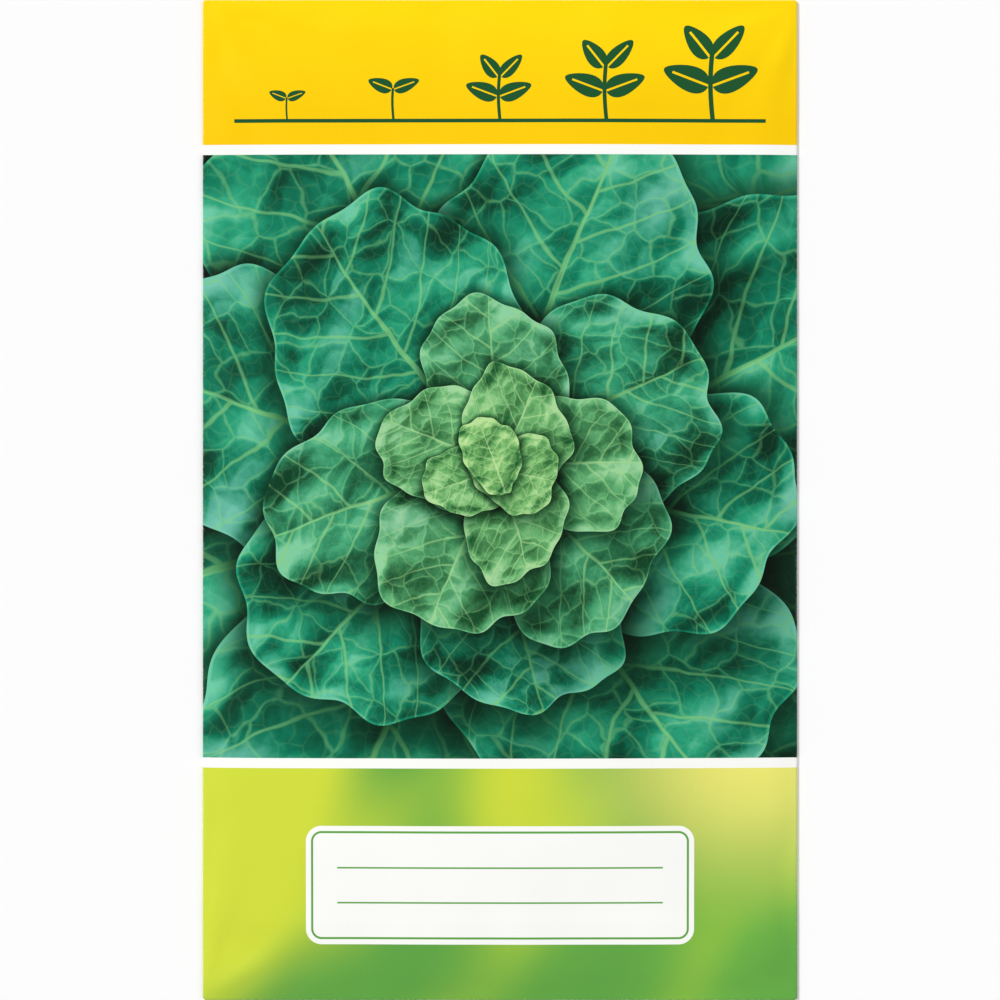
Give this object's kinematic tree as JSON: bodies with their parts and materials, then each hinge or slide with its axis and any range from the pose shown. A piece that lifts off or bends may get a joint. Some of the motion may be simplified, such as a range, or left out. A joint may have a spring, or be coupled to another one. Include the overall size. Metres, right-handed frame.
{
  "type": "seed packet",
  "caption": "Flat folded and glued paper seed packet, sealed and filled, lying on its back with its printed front panel up.",
  "frame": {"origin": "under the middle of the packet, on the surface it lies on", "axes": "+Y runs up the packet to its top edge, +X to the right of the printed front, +Z out of the printed front"},
  "size_m": [0.095, 0.16, 0.0046],
  "materials": {
    "printed_paper": "satin coated, printed",
    "seed_coat": "matte, finely pitted"
  },
  "bodies": {
    "root": {"packet": "printed_paper", "seeds": "seed_coat"}
  },
  "joints": []
}
